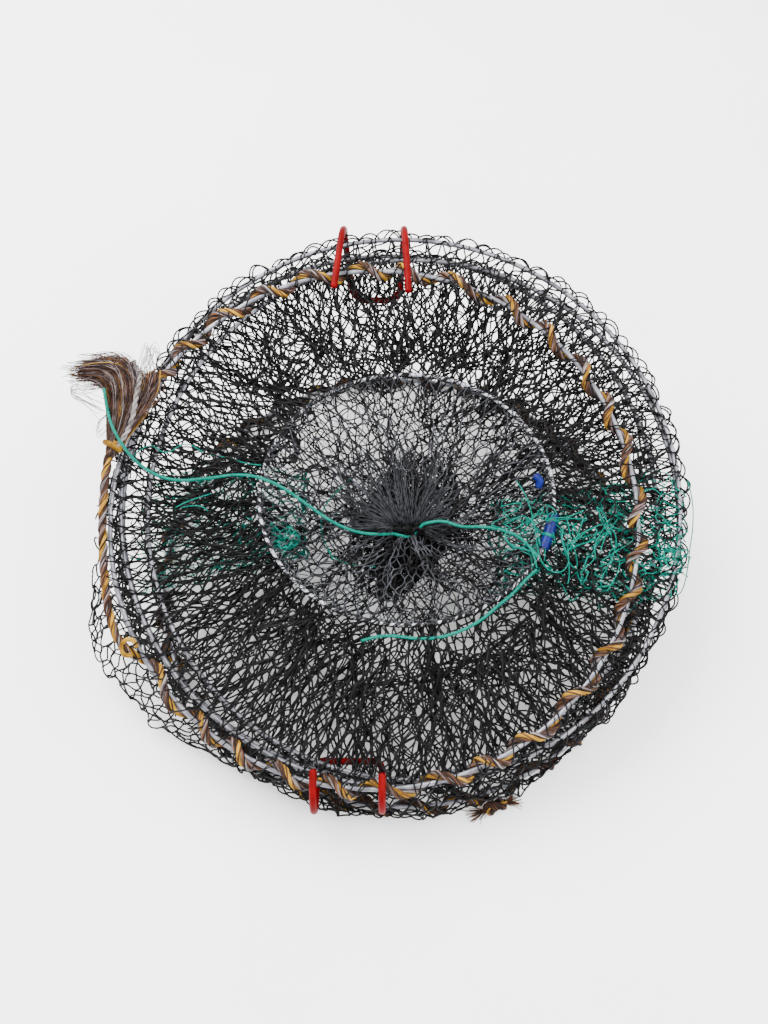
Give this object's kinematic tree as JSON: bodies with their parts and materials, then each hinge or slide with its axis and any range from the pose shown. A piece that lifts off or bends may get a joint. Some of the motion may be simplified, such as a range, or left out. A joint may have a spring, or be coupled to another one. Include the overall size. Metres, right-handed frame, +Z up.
{
  "type": "folding crab trap",
  "caption": "Round collapsible netting trap of wire hoops, partly folded, its hoops clipped in a leaning bunch over a rope-wound floor hoop, with funnel entrances and a gathered top.",
  "frame": {"origin": "on the floor, at the middle of the trap's footprint without its drawcord", "axes": "+Z up; +X through the two entrances, towards the one at the right; +Y towards the raised side"},
  "size_m": [0.717, 0.6589, 0.2985],
  "materials": {
    "galvanised_wire": "dull galvanised, slightly mottled",
    "wound_rope": "three-strand twisted rope, brown with yellow and white strands",
    "black_net": "knotted twine netting, slight sheen",
    "green_net": "fine green twine netting",
    "green_cord": "braided cord",
    "white_wire": "thin white-coated wire",
    "blue_sleeve": "blue plastic tube",
    "red_coating": "dipped plastic coating over wire"
  },
  "bodies": {
    "trap_base": {"bottom_hoop": "galvanised_wire", "bottom_rope": "wound_rope", "bottom_rope_end": "wound_rope", "bottom_net": "black_net", "side_net": "black_net", "right_funnel_net": "green_net", "left_funnel_net": "green_net", "right_mouth_ring": "green_cord", "left_mouth_ring": "green_cord", "funnel_tie_cord": "green_cord"},
    "bunch": {"top_hoop": "galvanised_wire", "top_rope": "wound_rope", "rope_tassel": "wound_rope", "outer_hoop": "galvanised_wire", "second_hoop": "galvanised_wire", "third_hoop": "galvanised_wire", "shoulder_net": "black_net", "top_net": "black_net", "closure_ring": "white_wire", "ring_sleeve": "blue_sleeve", "sleeve_binding": "green_cord", "closure_net": "black_net", "drawcord_knot": "green_cord", "drawcord_left": "green_cord", "drawcord_right": "green_cord", "drawcord_tail": "green_cord"},
    "far_clip": {"far_clip": "red_coating"},
    "near_clip": {"near_clip": "red_coating"}
  },
  "joints": [
    {"name": "fold", "type": "hinge", "parent": "trap_base", "child": "bunch", "pos_m": [0.0275, -0.3551, 0.072], "axis": [1, 0, 0], "range_deg": [-17.5, 0], "deforming": ["side_net", "right_funnel_net", "left_funnel_net", "right_mouth_ring", "left_mouth_ring", "funnel_tie_cord"]},
    {"name": "far_clip_slide", "type": "slide", "parent": "bunch", "child": "far_clip", "axis": [0, 0.9537, 0.3007], "range_m": [0, 0.095]},
    {"name": "near_clip_slide", "type": "slide", "parent": "bunch", "child": "near_clip", "axis": [0, -0.9537, -0.3007], "range_m": [0, 0.05]}
  ]
}
